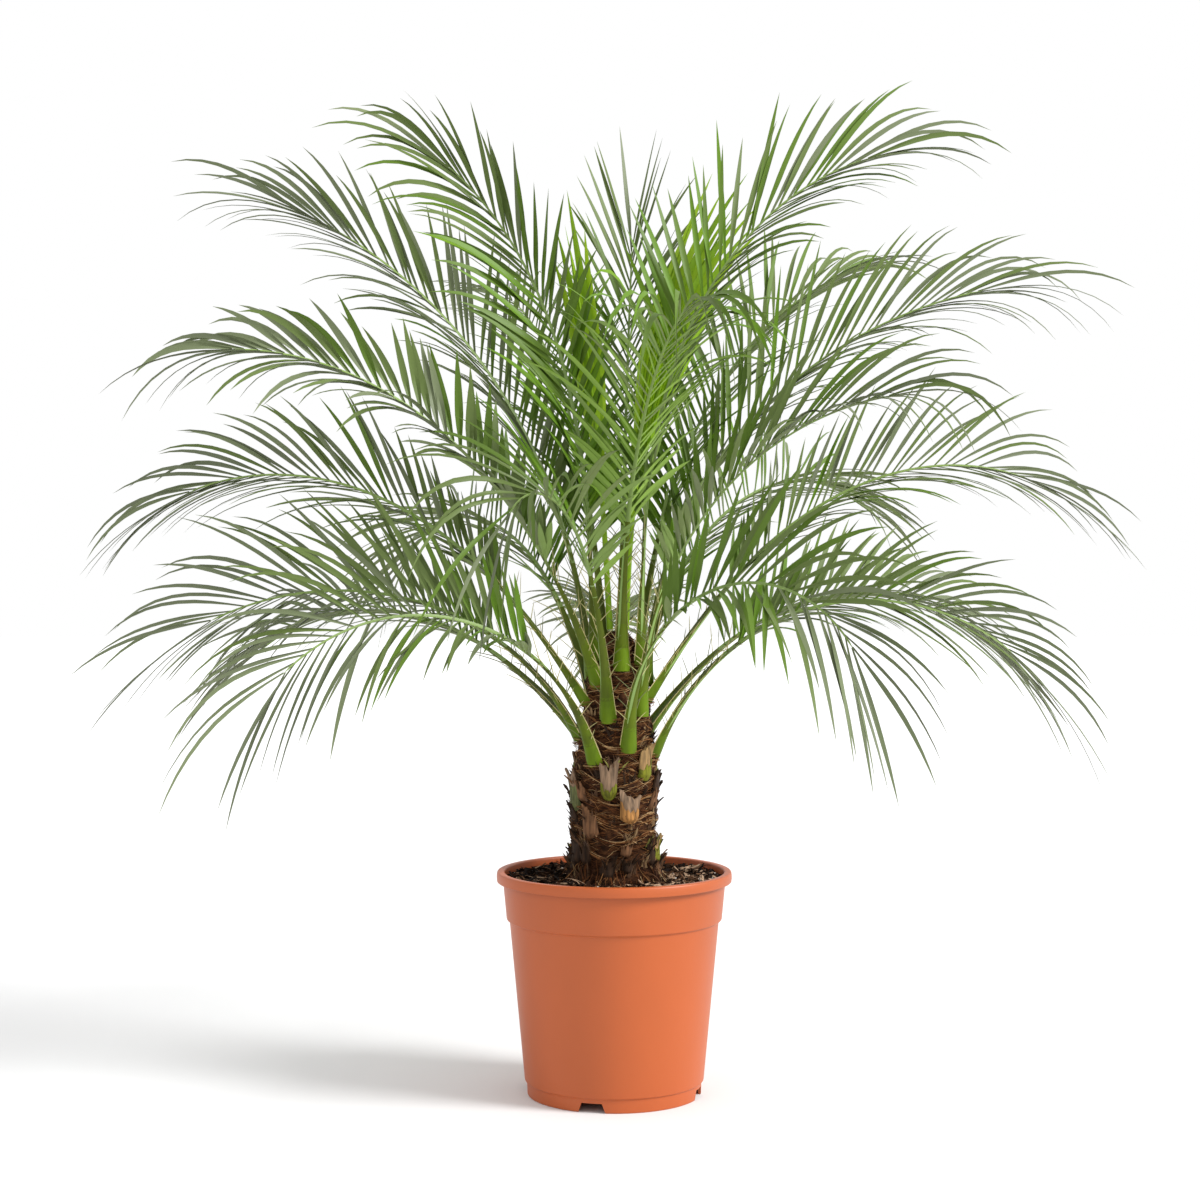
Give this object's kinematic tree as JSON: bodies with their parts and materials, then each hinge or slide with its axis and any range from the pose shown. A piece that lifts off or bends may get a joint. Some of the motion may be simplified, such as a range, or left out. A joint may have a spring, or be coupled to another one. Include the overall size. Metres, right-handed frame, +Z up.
{
  "type": "potted pygmy date palm",
  "caption": "Small feather palm with arching, finely divided fronds and a short fibrous trunk, standing in a terracotta-coloured plastic nursery pot filled with soil.",
  "frame": {"origin": "centre of the flat underside of the pot, on the surface that it stands on", "axes": "+Z up the trunk, -Y towards the side of the plant that faces the camera in the picture, +X to its right"},
  "size_m": [0.9621, 0.7954, 0.9063],
  "materials": {
    "pot_plastic": "satin moulded plastic, terracotta-coloured",
    "potting_soil": "rough, dark, damp potting mix",
    "palm_trunk": "rough, matted brown fibre",
    "cut_leaf_base": "dry and dull, tan to green",
    "frond_leaf": "waxy green leaf",
    "spear_leaf": "young bright green leaf, still folded"
  },
  "bodies": {
    "root": {"pot": "pot_plastic", "soil": "potting_soil", "trunk": "palm_trunk", "leaf_base_01": "cut_leaf_base", "leaf_base_02": "cut_leaf_base", "leaf_base_03": "cut_leaf_base", "leaf_base_04": "cut_leaf_base", "leaf_base_05": "cut_leaf_base", "leaf_base_06": "cut_leaf_base", "leaf_base_07": "cut_leaf_base", "leaf_base_08": "cut_leaf_base", "leaf_base_09": "cut_leaf_base", "leaf_base_10": "cut_leaf_base", "leaf_base_11": "cut_leaf_base", "leaf_base_12": "cut_leaf_base", "leaf_base_13": "cut_leaf_base", "frond_01": "frond_leaf", "frond_02": "frond_leaf", "frond_03": "frond_leaf", "frond_04": "frond_leaf", "frond_05": "frond_leaf", "frond_06": "frond_leaf", "frond_07": "frond_leaf", "frond_08": "frond_leaf", "frond_09": "frond_leaf", "frond_10": "frond_leaf", "frond_11": "frond_leaf", "frond_12": "frond_leaf", "frond_13": "frond_leaf", "frond_14": "frond_leaf", "frond_15": "frond_leaf", "frond_16": "frond_leaf", "frond_17": "frond_leaf", "frond_18": "frond_leaf", "frond_19": "frond_leaf", "frond_20": "frond_leaf", "frond_21": "frond_leaf", "frond_22": "frond_leaf", "spear_1": "spear_leaf", "spear_2": "spear_leaf"}
  },
  "joints": []
}
